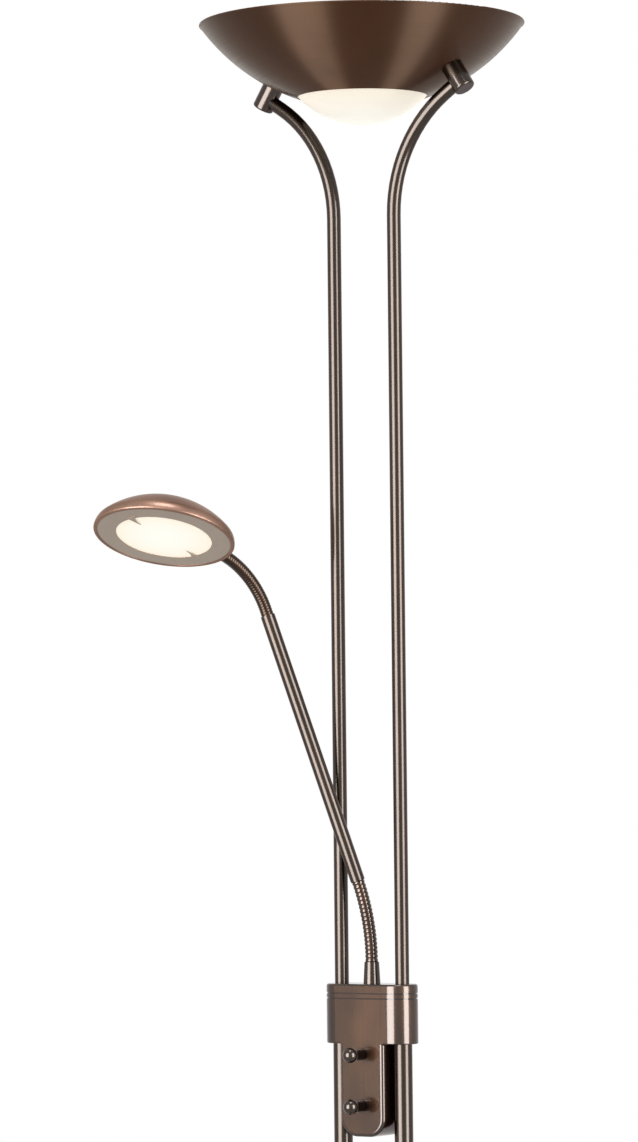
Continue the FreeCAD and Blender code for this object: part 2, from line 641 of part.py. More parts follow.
def makePoles():
    for name, side in (("left", "-pole_x"), ("right", "pole_x")):
        outer = "lower_pole_d / 2"
        inner = "lower_pole_d / 2 - lower_pole_wall"
        bush = "stud_d / 2"
        pole = turnedBody([
            (bush, "base_height"),
            (outer, "base_height"),
            (outer, "lower_pole_top"),
            (bush, "lower_pole_top"),
            (bush, "lower_pole_top - bush_length"),
            (inner, "lower_pole_top - bush_length"),
            (inner, "base_height + bush_length"),
            (bush, "base_height + bush_length"),
        ])
        keep("lower_pole_" + name, place(pole, side))

    sides = ("pole_x", "-pole_x")
    studs = [tube("stud_d / 2", "stud_bore / 2", "base_height + stud_grip - weight_z - washer_thick",
                  side, z="weight_z + washer_thick") for side in sides]
    keep("pole_studs", group(*studs))
    washers = [tube("washer_d / 2", "stud_d / 2 + slip_gap", "washer_thick", side,
                    z="recess_top - washer_thick") for side in sides]
    keep("pole_washers", group(*washers))
    nut_z = "recess_top - washer_thick - nut_height"
    nuts = [cut(hexagon("nut_width", "nut_height", side, z=nut_z),
                cylinder("stud_d / 2", "nut_height", side, z=nut_z)) for side in sides]
    keep("pole_nuts", group(*nuts))
    couplerBase = "lower_pole_top - stud_grip"
    couplers = [tube("stud_d / 2", "stud_bore / 2", f"upper_pole_z + stud_grip - ({couplerBase})",
                     side, z=couplerBase) for side in sides]
    keep("pole_couplers", group(*couplers))

    # upper poles: straight, then one bend outwards to the knuckle's side
    for name, sign in (("left", "-"), ("right", "")):
        pole = newBody()
        path = newSketch(pole, "XZ")
        turning = ("right",) if sign == "" else ()
        trace(path, [
            (sign + "pole_x", "upper_pole_z"),
            (sign + "pole_x", "bend_start_z"),
            (sign + "bend_end_x", "bend_end_z", "pole_bend") + turning,
            (sign + "tip_x", "tip_z"),
        ], closed=False)
        section = newSketch(pole, "XY", "upper_pole_z")
        ring(section, "upper_pole_d / 2", sign + "pole_x")
        ring(section, "stud_d / 2", sign + "pole_x")
        pipe = pole.newObject("PartDesign::AdditivePipe", "Pipe")
        pipe.Profile = section
        pipe.Spine = path
        keep("upper_pole_" + name, pole)


# ---- knuckles --------------------------------------------------------------------------------

def tilted(thing, sign, x="foot_x", z="foot_z"):
    """Turns a piece made about Z so that it stands square on the bowl, beside the pole."""
    tilt = -number("knuckle_angle") * sign
    thing.Placement.Rotation = FreeCAD.Rotation(FreeCAD.Vector(0, 1, 0), tilt)
    return place(thing, x if sign > 0 else "-" + x, "0", z)


def makeKnuckles():
    nipples, nuts, washers = [], [], []
    for name, sign in (("left", -1), ("right", 1)):
        radius = "knuckle_d / 2"
        barrel = turnedBody([
            ("0", "-knuckle_length"),
            (radius + " - knuckle_round", "-knuckle_length"),
            (radius, "-knuckle_length + knuckle_round", "knuckle_round"),
            (radius, "0"),
            ("0", "0"),
        ])
        start = "pole_stop" if sign < 0 else "-knuckle_d"
        poleBore = cylinder("upper_pole_d / 2 + run_gap", "knuckle_d - pole_stop", start,
                            z="-knuckle_seat", axis="x")
        leadPocket = cylinder("stud_bore / 2", "2 * pole_stop", "-pole_stop",
                              z="-knuckle_seat", axis="x")
        leadBore = cylinder("nipple_bore / 2", "knuckle_seat", z="-knuckle_seat")
        thread = cylinder("nipple_d / 2", "nipple_grip", z="-nipple_grip")
        keep("knuckle_" + name, tilted(cut(barrel, poleBore, leadPocket, leadBore, thread), sign))

        # hollow nipple through the bowl, with washer and nut on the bridge inside
        stack = "bowl_wall + bridge_lift + bridge_thick"
        nippleTop = f"{stack} + nipple_washer_thick + nipple_nut_height + thread_end"
        nipples.append(tilted(tube("nipple_d / 2", "nipple_bore / 2", f"nipple_grip + {nippleTop}",
                                   z="-nipple_grip"), sign))
        washers.append(tilted(tube("nipple_washer_d / 2", "nipple_d / 2 + slip_gap",
                                   "nipple_washer_thick", z=stack), sign))
        nut_z = f"{stack} + nipple_washer_thick"
        nuts.append(tilted(cut(hexagon("nipple_nut_width", "nipple_nut_height", z=nut_z),
                               cylinder("nipple_d / 2", "nipple_nut_height", z=nut_z)), sign))
    keep("bowl_nipples", group(*nipples))
    keep("bowl_washers", group(*washers))
    keep("bowl_nuts", group(*nuts))


# ---- switch housing --------------------------------------------------------------------------

def tongueOutline(sketch, inset, top):
    """The tongue's front view: straight sides and large lower corners."""
    side = f"(tongue_width / 2 - ({inset}))"
    low = f"(tongue_base + ({inset}))"
    corner = f"(tongue_corner - ({inset}))"
    trace(sketch, [
        ("-" + side, top),
        ("-" + side, f"{low} + {corner}"),
        (f"-{side} + {corner}", low, corner),
        (f"{side} - {corner}", low),
        (side, f"{low} + {corner}", corner),
        (side, top),
    ])


def outlineEdges(shape, depth):
    """Names of the edges that lie wholly in the two faces square to Y, without the top one."""
    names = []
    top = shape.BoundBox.ZMax
    for index, edge in enumerate(shape.Edges, start=1):
        box = edge.BoundBox
        flat = abs(box.YMax - box.YMin) < EDGE_TOLERANCE
        onFace = abs(abs(box.YMin) - depth) < EDGE_TOLERANCE
        if flat and onFace and box.ZMin < top - EDGE_TOLERANCE:
            names.append(f"Edge{index}")
    return names


def makeHousing():
    housing = newBody()
    tongue = newSketch(housing, "XZ")
    tongueOutline(tongue, "0", "collar_base + housing_wall")
    raised = pad(housing, tongue, "collar_depth", both=True)
    doc.recompute()
    rounded(housing, raised, outlineEdges(raised.Shape, number("collar_depth / 2")), "tongue_round")

    oval = racetrack(newSketch(housing, "XY", "collar_base"), "collar_length", "collar_depth")
    collar = pad(housing, oval, "lid_z - collar_base")
    doc.recompute()
    rounded(housing, collar, edgesAt(collar.Shape, number("collar_base")), "collar_round / 2")

    # two grooves: one under the lid, one below it
    for groove_z in ("lid_z", "collar_top - second_groove"):
        band = newSketch(housing, "XY", groove_z)
        racetrack(band, "collar_length + 2 * groove_depth", "collar_depth + 2 * groove_depth")
        racetrack(band, "collar_length - 2 * groove_depth", "collar_depth - 2 * groove_depth")
        pocket(housing, band, "groove_width")

    # sockets for the poles and the bores for the couplers between them
    for height, radius, depth, upward in (
        ("lid_z", "upper_pole_d / 2 + run_gap", "upper_socket", False),
        ("lid_z", "stud_d / 2 + run_gap", "lid_z - collar_base", False),
        ("collar_base", "lower_pole_d / 2 + run_gap", "lower_socket", True),
    ):
        holes = newSketch(housing, "XY", height)
        for side in ("pole_x", "-pole_x"):
            ring(holes, radius, side)
        pocket(housing, holes, depth, reverse=upward)

    # cavity: open at the top under the lid and at the tongue's back
    room = newSketch(housing, "XY", "lid_z")
    wide = "(tongue_width / 2 - housing_wall)"
    deep = "(collar_depth / 2 - housing_wall)"
    trace(room, [("-" + wide, "-" + deep), (wide, "-" + deep), (wide, deep), ("-" + wide, deep)])
    pocket(housing, room, "lid_z - collar_base + knob_drop")
    chamber = newSketch(housing, "XZ", "-collar_depth / 2")
    tongueOutline(chamber, "housing_wall", "collar_base - housing_wall")
    pocket(housing, chamber, "collar_depth - housing_wall", reverse=True)

    # posts for the back cover's screws
    posts = newSketch(housing, "XZ", "collar_depth / 2 - housing_wall / 2")
    for post_z in ("post_upper_z", "post_lower_z"):
        ring(posts, "back_post_d / 2", "0", post_z)
    pad(housing, posts, "collar_depth - 1.5 * housing_wall - back_thick", reverse=True)
    tapped = newSketch(housing, "XZ", "-collar_depth / 2")
    for post_z in ("post_upper_z", "post_lower_z"):
        ring(tapped, "back_screw_d / 2 + run_gap", "0", post_z)
    pocket(housing, tapped, "back_screw_length", reverse=True)

    # panel holes for the dimmers, with a shallow recess for the flush nut
    for radius, depth in (("dimmer_bush_d / 2 + run_gap", "2 * housing_wall"),
                          ("dimmer_nut_d / 2 + slip_gap", "dimmer_nut_thick")):
        front = newSketch(housing, "XZ", "collar_depth / 2")
        for knob_z in ("upper_knob_z", "lower_knob_z"):
            ring(front, radius, "0", knob_z)
        pocket(housing, front, depth)
    keep("switch_housing", housing)

    # lid, with the poles and the arm's ferrule passing through it
    lid = newBody()
    oval = racetrack(newSketch(lid, "XY", "lid_z"), "collar_length", "collar_depth")
    raised = pad(lid, oval, "lid_height")
    doc.recompute()
    rounded(lid, raised, edgesAt(raised.Shape, number("collar_top")), "collar_round")
    holes = newSketch(lid, "XY", "collar_top")
    for side in ("pole_x", "-pole_x"):
        ring(holes, "upper_pole_d / 2 + slip_gap", side)
    ring(holes, "ferrule_thread_d / 2 + run_gap")
    pocket(lid, holes, "lid_height")
    keep("housing_lid", lid)

    # back cover with its two screws
    cover = newBody()
    plate = newSketch(cover, "XZ", "-collar_depth / 2")
    tongueOutline(plate, "housing_wall + slip_gap", "collar_base - housing_wall - slip_gap")
    ring(plate, "back_screw_d / 2 + slip_gap", "0", "post_upper_z")
    ring(plate, "back_screw_d / 2 + slip_gap", "0", "post_lower_z")
    pad(cover, plate, "back_thick")
    keep("housing_back", cover)
    screws = []
    for post_z in ("post_upper_z", "post_lower_z"):
        head = cylinder("back_screw_head_d / 2", "back_screw_head", y="collar_depth / 2", z=post_z,
                        axis="y")
        shank = cylinder("back_screw_d / 2", "back_screw_length", y="collar_depth / 2 - back_screw_length",
                         z=post_z, axis="y")
        slot = block("back_screw_head_d", "slot_width", "slot_width", "-back_screw_head_d / 2",
                     "collar_depth / 2 + back_screw_head - slot_width", post_z + " - slot_width / 2")
        screws.append(cut(fuse(head, shank), slot))
    keep("housing_back_screws", group(*screws))


# ---- dimmers and knobs -----------------------------------------------------------------------

def makeKnobs():
    nuts = []
    for name in ("upper", "lower"):
        knob_z = name + "_knob_z"
        case = block("dimmer_width", "dimmer_depth", "dimmer_width", "-dimmer_width / 2", "dimmer_y",
                     knob_z + " - dimmer_width / 2")
        bush = cylinder("dimmer_bush_d / 2", "dimmer_y - panel_y", y="panel_y", z=knob_z, axis="y")
        bore = cylinder("shaft_d / 2 + run_gap", "dimmer_y - panel_y + dimmer_depth / 2", y="panel_y",
                        z=knob_z, axis="y")
        keep("dimmer_" + name, cut(fuse(case, bush), bore))
        nuts.append(tube("dimmer_nut_d / 2", "dimmer_bush_d / 2", "dimmer_nut_thick", y="panel_y",
                         z=knob_z, axis="y"))

        stemLength = "knob_reach - knob_gap"
        ball = newBody()
        radius = "knob_ball_d / 2"
        neck = "sqrt((knob_ball_d / 2) ^ 2 - (knob_stem_d / 2) ^ 2)"
        section = newSketch(ball, "XZ")
        trace(section, [
            ("0", "-" + radius),
            (radius, "0", radius),
            ("knob_stem_d / 2", neck, radius),
            ("knob_stem_d / 2", stemLength),
            ("shaft_d / 2", stemLength),
            ("shaft_d / 2", f"{stemLength} - shaft_grip"),
            ("0", f"{stemLength} - shaft_grip"),
        ])
        revolve(ball, section)
        ball.Placement.Rotation = AXES["y"]
        keep("knob_" + name, place(ball, "0", "panel_y - knob_reach", knob_z))
        shaftStart = f"panel_y - knob_reach + {stemLength} - shaft_grip"
        shaft = cylinder("shaft_d / 2", f"dimmer_y + dimmer_depth / 2 - ({shaftStart}) - seat_gap",
                         y=shaftStart, z=knob_z, axis="y")
        keep("shaft_" + name, shaft)
    keep("dimmer_nuts", group(*nuts))


# ---- bowl ------------------------------------------------------------------------------------

def makeBowl():
    hole = "glass_hole_d / 2"
    shell = turnedBody([
        (hole, "hole_inner_z", "inner_radius", "right"),
        (hole, "hole_z"),
        ("rim_d / 2", "rim_height", "bowl_radius"),
        ("inner_rim", "rim_height"),
    ])
    bead = doc.addObject("Part::Torus", "Bead")
    bind(bead, "Radius1", "(rim_d / 2 + inner_rim) / 2")
    bind(bead, "Radius2", "rim_bead")
    place(bead, z="rim_height")
    keep("bowl", cut(fuse(shell, bead), *nippleHoles()))

    dome = "sqrt(glass_radius ^ 2 - (glass_z - flange_z) ^ 2)"
    hollow = "(glass_radius - glass_thick)"
    flange_top = "flange_z + glass_thick"
    glass = turnedBody([
        ("0", f"glass_z - {hollow}", hollow, "right"),
        ("0", "glass_z - glass_radius"),
        (dome, "flange_z", "glass_radius"),
        ("flange_r", "flange_z"),
        ("flange_r", flange_top),
        (f"sqrt({hollow} ^ 2 - (glass_z - ({flange_top})) ^ 2)", flange_top),
    ])
    keep("bowl_glass", glass)

    # bridge: a ring that holds the glass down, on two arms that the nipples clamp to the bowl
    seat = "(bowl_wall + bridge_lift)"
    top = f"({seat} + bridge_thick)"
    under = [seatPoint("bridge_foot", seat), seatPoint("-bridge_foot", seat), ("bridge_flat", "bridge_z")]
    over = [("bridge_flat", "bridge_z + bridge_thick"), seatPoint("-bridge_foot", top),
            seatPoint("bridge_foot", top)]
    strip = newBody()
    bent = newSketch(strip, "XZ")
    trace(bent, [("-" + x, z) for x, z in under] + [(x, z) for x, z in reversed(under)]
          + [(x, z) for x, z in reversed(over)] + [("-" + x, z) for x, z in over])
    pad(strip, bent, "bridge_width", both=True)
    disc = newSketch(strip, "XY", "bridge_z")
    ring(disc, "bridge_ring_d / 2")
    pad(strip, disc, "bridge_thick")
    opening = newSketch(strip, "XY", "bridge_z + bridge_thick")
    ring(opening, "bridge_hole_d / 2")
    pocket(strip, opening, "2 * bridge_thick")
    keep("lamp_bridge", cut(strip, *nippleHoles()))

    # halogen tube between two ceramic holders, under a guard glass
    deck = "(bridge_z + bridge_thick)"
    half = "(tube_length / 2)"
    keep("halogen_tube", cylinder("tube_d / 2", "tube_length - 2 * tube_cap_length",
                                  f"-{half} + tube_cap_length", z=f"{deck} + tube_height", axis="x"))
    caps = [cylinder("tube_cap_d / 2", "tube_cap_length", x, z=f"{deck} + tube_height", axis="x")
            for x in ("-" + half, f"{half} - tube_cap_length")]
    keep("tube_caps", group(*caps))
    holders = [block("holder_depth", "holder_width", "holder_height", x, "-holder_width / 2", deck)
               for x in (f"-{half} - holder_depth", half)]
    keep("lamp_holders", group(*holders))
    guard_x = f"({half} + holder_depth)"
    guard_z = f"({deck} + guard_rise)"
    lip = f"({guard_x} - guard_overhang)"
    clips = []
    for sign in ("-", ""):
        clip = newBody()
        channel = newSketch(clip, "XZ")
        trace(channel, [(sign + x, z) for x, z in (
            (guard_x, deck),
            (f"({guard_x} + clip_thick)", deck),
            (f"({guard_x} + clip_thick)", f"{guard_z} + guard_thick + slip_gap + clip_thick"),
            (lip, f"{guard_z} + guard_thick + slip_gap + clip_thick"),
            (lip, f"{guard_z} + guard_thick + slip_gap"),
            (guard_x, f"{guard_z} + guard_thick + slip_gap"),
            (guard_x, guard_z),
            (lip, guard_z),
            (lip, f"{guard_z} - clip_thick"),
            (guard_x, f"{guard_z} - clip_thick"),
        )])
        pad(clip, channel, "holder_width", both=True)
        clips.append(clip)
    keep("guard_clips", group(*clips))
    keep("guard_glass", block(f"2 * {guard_x} - 2 * slip_gap", "guard_width", "guard_thick",
                              f"-{guard_x} + slip_gap", "-guard_width / 2", guard_z))


def nippleHoles():
    return [tilted(cylinder("nipple_d / 2 + slip_gap", "nipple_d", z="-nipple_d / 2"), sign)
            for sign in (-1, 1)]


def seatPoint(along, above):
    """A point given along and above the bowl's skin at a nipple."""
    x = f"(foot_x + ({along}) * cos(knuckle_angle) - ({above}) * sin(knuckle_angle))"
    z = f"foot_z + ({along}) * sin(knuckle_angle) + ({above}) * cos(knuckle_angle)"
    return x, z


# ---- reading arm -----------------------------------------------------------------------------

def heading(angle, climb=0):
    """A direction given by its heading from above and its slope."""
    flat = math.cos(math.radians(climb))
    return FreeCAD.Vector(math.cos(math.radians(angle)) * flat, math.sin(math.radians(angle)) * flat,
                          math.sin(math.radians(climb)))


def frameOf(origin, xAxis, zAxis):
    """A placement at the origin with its X and Z axes along the two directions."""
    yAxis = zAxis.cross(xAxis)
    matrix = FreeCAD.Matrix(xAxis.x, yAxis.x, zAxis.x, origin.x,
                            xAxis.y, yAxis.y, zAxis.y, origin.y,
                            xAxis.z, yAxis.z, zAxis.z, origin.z,
                            0, 0, 0, 1)
    return FreeCAD.Placement(matrix)


def armFrames():
    """Placements of the lower neck, the rigid tube and the head, and the upper neck's bend."""
    out = heading(number("arm_heading"))
    up = FreeCAD.Vector(0, 0, 1)
    bend = math.radians(number("lower_neck_bend"))
    radius = number("neck_radius")
    foot = FreeCAD.Vector(0, 0, number("collar_top + ferrule_height"))
    tubeStart = foot + out * radius * (1 - math.cos(bend)) + up * radius * math.sin(bend)
    along = out * math.sin(bend) + up * math.cos(bend)
    entry = heading(number("head_heading"), number("head_climb"))
    turn = along.getAngle(entry)
    sideways = (entry - along * math.cos(turn)).normalize()
    bow = number("upper_neck_radius")
    neckEnd = (tubeStart + along * number("arm_tube_length + upper_neck_lead")
               + sideways * bow * (1 - math.cos(turn)) + along * bow * math.sin(turn))
    level = FreeCAD.Rotation(entry, number("head_roll")).multVec(
        (up - entry * up.dot(entry)).normalize())
    centre = neckEnd + entry * number("entry_radius") - level * number("entry_height")
    return {
        "lower": frameOf(FreeCAD.Vector(0, 0, 0), out, up),
        "tube": frameOf(tubeStart, sideways, along),
        "head": frameOf(centre, entry, level),
        "turn": math.degrees(turn),
    }


def flexNeck(steps):
    """A flexible neck: a hollow core carried along a path in the XZ plane, with round ribs on it."""
    neck = newBody()
    path = newSketch(neck, "XZ")
    trace(path, steps, closed=False)
    section = newSketch(neck, "XY", steps[0][1])
    ring(section, "neck_d / 2 - rib_height")
    ring(section, "neck_bore / 2")
    pipe = neck.newObject("PartDesign::AdditivePipe", "Pipe")
    pipe.Profile = section
    pipe.Spine = path
    doc.recompute()
    run = path.Shape.Wires[0]
    count = int(run.Length / number("rib_pitch"))
    ribs = []
    for spot, way in stations(run, count):
        rib = doc.addObject("Part::Torus", "Rib")
        bind(rib, "Radius1", "neck_d / 2 - rib_radius")
        bind(rib, "Radius2", "rib_radius")
        rib.Placement = FreeCAD.Placement(spot, FreeCAD.Rotation(FreeCAD.Vector(0, 0, 1), way))
        ribs.append(rib)
    return fuse(neck, *ribs)


def stations(run, count):
    """Evenly spaced points of a wire, each with the wire's direction there."""
    found = []
    for index in range(count):
        reach = (index + 0.5) * run.Length / count
        for edge in run.Edges:
            if reach <= edge.Length:
                spot = edge.getParameterByLength(reach)
                found.append((edge.valueAt(spot), edge.tangentAt(spot)))
                break
            reach -= edge.Length
    return found


def makeArm(frames):
    top = "(collar_top + ferrule_height)"
    low = "lid_z - ferrule_nut_height - thread_end"
    pocketRadius = "neck_d / 2 + run_gap"
    ferrule = turnedBody([
        ("neck_bore / 2", low),
        ("ferrule_thread_d / 2", low),
        ("ferrule_thread_d / 2", "collar_top"),
        ("ferrule_base_d / 2", "collar_top"),
        ("ferrule_top_d / 2", top),
        (pocketRadius, top),
        (pocketRadius, f"{top} - neck_seat"),
        ("neck_bore / 2", f"{top} - neck_seat"),
    ])
    keep("arm_ferrule", ferrule)
    nut_z = "lid_z - ferrule_nut_height"
    keep("ferrule_nut", cut(hexagon("ferrule_nut_width", "ferrule_nut_height", z=nut_z),
                            cylinder("ferrule_thread_d / 2", "ferrule_nut_height", z=nut_z)))

    bent = "lower_neck_bend"
    end_x = f"neck_radius * (1 - cos({bent}))"
    end_z = f"{top} + neck_radius * sin({bent})"
    lower = flexNeck([
        ("0", f"{top} - neck_seat"),
        ("0", top),
        (end_x, end_z, "neck_radius", "right"),
        (f"{end_x} + neck_seat * sin({bent})", f"{end_z} + neck_seat * cos({bent})"),
    ])
    lower.Placement = frames["lower"]
    keep("lower_neck", lower)

    arm = tube("arm_tube_d / 2", "neck_d / 2 + run_gap", "arm_tube_length")
    arm.Placement = frames["tube"]
    keep("arm_tube", arm)
    bushes = group(*[tube("neck_d / 2 + run_gap", "neck_bore / 2", "tube_bush", z=z)
                     for z in ("neck_seat", "arm_tube_length - neck_seat - tube_bush")])
    bushes.Placement = frames["tube"]
    keep("tube_bushes", bushes)

    turn = frames["turn"]
    bow = "upper_neck_radius"
    start = "arm_tube_length"
    end_x = f"{bow} * (1 - cos({turn}))"
    end_z = f"{start} + upper_neck_lead + {bow} * sin({turn})"
    upper = flexNeck([
        ("0", f"{start} - neck_seat"),
        ("0", f"{start} + upper_neck_lead"),
        (end_x, end_z, bow, "right"),
        (f"{end_x} + neck_seat * sin({turn})", f"{end_z} + neck_seat * cos({turn})"),
    ])
    upper.Placement = frames["tube"]
    keep("upper_neck", upper)


# ---- head ------------------------------------------------------------------------------------

def makeHead(frames):
    pieces = {}
    inner = "(head_shoulder - head_wall)"
    wallFoot = f"shoulder_x + sqrt({inner} ^ 2 - (head_lip_height - shoulder_z) ^ 2)"
    dome = turnedBody([
        ("lip_r", "0"),
        ("head_d / 2 - shoulder_z", "0"),
        ("head_d / 2", "shoulder_z", "shoulder_z"),
        ("blend_x", "blend_z", "head_shoulder"),
        ("0", "head_height", "crown_radius"),
        ("0", "head_height - head_wall"),
        ("wall_blend_x", "wall_blend_z", "crown_radius - head_wall", "right"),
        (wallFoot, "head_lip_height", inner, "right"),
        ("lip_r", "head_lip_height"),
    ])
    mouth = cylinder("socket_d / 2 + run_gap", "entry_radius", "-entry_radius - socket_length",
                     z="entry_height", axis="x")
    pieces["head_shell"] = cut(dome, mouth)

    outer = "lip_r - run_gap"
    upstand = "lens_d / 2 + upstand_wall"
    pieces["head_ring"] = turnedBody([
        ("lens_d / 2 + slip_gap", "ring_recess"),
        (outer, "ring_recess"),
        (outer, "ring_recess + ring_thick"),
        (upstand, "ring_recess + ring_thick"),
        (upstand, "ledge_top"),
        ("ledge_r", "ledge_top"),
        ("ledge_r", "ledge_z"),
        ("lens_d / 2 + slip_gap", "ledge_z"),
    ])
    pieces["head_glass"] = cylinder("lens_d / 2", "lens_thick", z="lens_recess")

    # spring clips that hook over the glass
    clips = []
    for turned in ("clip_angle", "clip_angle + 180"):
        hook = newBody()
        fang = newSketch(hook, "XY", "ring_recess - clip_thick")
        root = "lens_d / 2 + clip_width / 3"
        trace(fang, [
            (root, "-clip_width / 2"),
            (root, "clip_width / 2"),
            ("lens_d / 2 - clip_reach", "-clip_width / 6", "clip_bow", "right"),
        ])
        pad(hook, fang, "clip_thick")
        hook.Placement.Rotation = FreeCAD.Rotation(FreeCAD.Vector(0, 0, 1), number(turned))
        clips.append(hook)
    pieces["head_glass_clips"] = group(*clips)

    # yoke on the ring that the swivel socket turns in
    top = "entry_height + socket_thread_d / 2 + yoke_margin"
    upright = block("yoke_thick", "yoke_width", f"{top} - ring_recess - ring_thick", "yoke_x",
                    "-yoke_width / 2", "ring_recess + ring_thick")
    bore = cylinder("socket_thread_d / 2 + run_gap", "2 * yoke_thick", "yoke_x - yoke_thick / 2",
                    z="entry_height", axis="x")
    pieces["head_yoke"] = cut(upright, bore)
    socket = turnedBody([
        ("socket_thread_d / 4", "neck_seat"),
        ("neck_d / 2 + run_gap", "neck_seat"),
        ("neck_d / 2 + run_gap", "0"),
        ("socket_d / 2", "0"),
        ("socket_d / 2", "socket_length"),
        ("socket_thread_d / 2", "socket_length"),
        ("socket_thread_d / 2", "socket_length + yoke_thick + socket_nut_height + thread_end"),
        ("socket_thread_d / 4", "socket_length + yoke_thick + socket_nut_height + thread_end"),
    ])
    socket.Placement.Rotation = AXES["x"]
    pieces["head_socket"] = place(socket, "-entry_radius", z="entry_height")
    nut_x = "yoke_x + yoke_thick"
    pieces["head_nut"] = cut(
        hexagon("socket_nut_width", "socket_nut_height", nut_x, z="entry_height", axis="x"),
        cylinder("socket_thread_d / 2", "socket_nut_height", nut_x, z="entry_height", axis="x"))

    # reflector, lamp bracket, holder and capsule
    mirrorRadius = "((ledge_r ^ 2 + mirror_rise ^ 2) / (2 * mirror_rise))"
    shade = turnedBody([
        ("ledge_r", "ledge_top"),
        ("ledge_r + reflector_wall", "ledge_top"),
        ("ledge_r + reflector_wall", "mirror_z"),
        ("0", "mirror_z + mirror_rise + reflector_wall", mirrorRadius + " + reflector_wall"),
        ("0", "mirror_z + mirror_rise"),
        ("ledge_r", "mirror_z", mirrorRadius, "right"),
    ])
    notch = block("2 * ledge_width", "yoke_width", "reflector_foot", "-ledge_r - ledge_width",
                  "-yoke_width / 2", "ledge_top")
    pieces["head_reflector"] = cut(shade, notch)
    barEnd = "(ledge_r + ledge_width)"
    bar = block(f"{barEnd} - capsule_start", "bracket_width", "bracket_thick", "-" + barEnd,
                "-bracket_width / 2", "ledge_top")
    screw_x = "-(ledge_r + ledge_width / 2)"
    screws = []
    holes = []
    for side in ("-bracket_width / 3", "bracket_width / 3"):
        head = cylinder("bracket_screw_head_d / 2", "bracket_screw_head", screw_x, side,
                        "ledge_top + bracket_thick")
        shank = cylinder("bracket_screw_d / 2", "bracket_thick + ledge_thick / 2", screw_x, side,
                         "ledge_top - ledge_thick / 2")
        screws.append(fuse(head, shank))
        holes.append(cylinder("bracket_screw_d / 2 + run_gap", "bracket_thick + ledge_thick / 2",
                              screw_x, side, "ledge_top - ledge_thick / 2"))
    pieces["head_bracket"] = cut(bar, group(*holes))
    pieces["head_ring"] = cut(pieces["head_ring"], group(*holes))
    pieces["head_screws"] = group(*screws)
    base_z = "ledge_top + bracket_thick"
    holder = block("lamp_base_length", "lamp_base_width", "2 * lamp_axis_rise",
                   "-capsule_start - lamp_base_length", "-lamp_base_width / 2", base_z)
    pieces["head_lamp_holder"] = holder
    capsule = turnedBody([
        ("0", "0"),
        ("capsule_d / 2", "0"),
        ("capsule_d / 2", "capsule_length - capsule_d / 2"),
        ("0", "capsule_length", "capsule_d / 2"),
    ])
    capsule.Placement.Rotation = AXES["x"]
    pieces["capsule_lamp"] = place(capsule, "-capsule_start", z=f"{base_z} + lamp_axis_rise")
    for label, piece in pieces.items():
        whole = group(piece)
        whole.Placement = frames["head"]
        keep(label, whole)


makeBase()
makePoles()
makeKnuckles()
makeHousing()
makeKnobs()
makeBowl()
frames = armFrames()
makeArm(frames)
makeHead(frames)

doc.recompute()
failed = [thing.Label for thing in doc.Objects if "Invalid" in thing.State or "Error" in thing.State]
if failed:
    raise RuntimeError("could not build " + ", ".join(failed))
for label, thing in NODES.items():
    if thing.Shape.isNull() or not thing.Shape.isValid():
        raise RuntimeError(label + " is not a valid solid")

os.makedirs("parts", exist_ok=True)
for label, thing in NODES.items():
    thing.Shape.exportStep(f"parts/{label}.step")
print(len(NODES), "nodes written")
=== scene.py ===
import json
import math

import bpy
from mathutils import Euler, Matrix, Vector


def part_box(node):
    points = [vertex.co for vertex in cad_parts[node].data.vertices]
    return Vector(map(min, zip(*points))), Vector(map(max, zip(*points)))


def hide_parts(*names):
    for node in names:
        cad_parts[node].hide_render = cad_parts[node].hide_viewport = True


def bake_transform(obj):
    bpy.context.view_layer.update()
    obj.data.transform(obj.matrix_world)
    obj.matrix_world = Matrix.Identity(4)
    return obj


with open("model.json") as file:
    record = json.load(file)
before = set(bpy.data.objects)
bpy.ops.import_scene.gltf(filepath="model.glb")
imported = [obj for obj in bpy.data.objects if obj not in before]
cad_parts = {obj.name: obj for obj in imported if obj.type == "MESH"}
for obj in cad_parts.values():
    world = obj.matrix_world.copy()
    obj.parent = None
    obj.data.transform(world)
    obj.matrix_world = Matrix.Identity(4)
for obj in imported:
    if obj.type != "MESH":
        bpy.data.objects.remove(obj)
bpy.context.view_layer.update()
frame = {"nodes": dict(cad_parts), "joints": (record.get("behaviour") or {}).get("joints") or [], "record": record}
nodes = frame["nodes"]
joints = {joint["name"]: joint for joint in frame["joints"]}
scene = bpy.context.scene
print("frame loaded:", len(nodes), "nodes")


# the photograph was taken from the front, turned towards the right pole, from below the reading head

shot = {
    "azimuth": 35,        # degrees round the lamp, from the knobs' side
    "distance": 4.49,     # metres from the lamp's axis
    "eyeHeight": 1.157,
    "pitch": 2.18,        # degrees upwards
    "yaw": 0.532,         # degrees to the left of the lamp's axis
    "roll": -0.6,         # degrees about the line of sight
    "lens": 164.9,
    "sensor": 36,
    "farthest": 60,       # metres that the camera sees
}


def makeCamera():
    camera = bpy.data.cameras.new("camera")
    camera.sensor_width = shot["sensor"]
    camera.lens = shot["lens"]
    camera.clip_end = shot["farthest"]
    eye = bpy.data.objects.new("camera", camera)
    turn = math.radians(shot["azimuth"])
    away = shot["distance"]
    eye.location = (away * math.sin(turn), -away * math.cos(turn), shot["eyeHeight"])
    aim = Euler((math.radians(90 + shot["pitch"]), 0, turn + math.radians(shot["yaw"]))).to_matrix()
    eye.rotation_euler = (aim @ Matrix.Rotation(math.radians(shot["roll"]), 3, "Z")).to_euler()
    scene.collection.objects.link(eye)
    scene.camera = eye


makeCamera()
print("camera placed")


# ways to build node trees

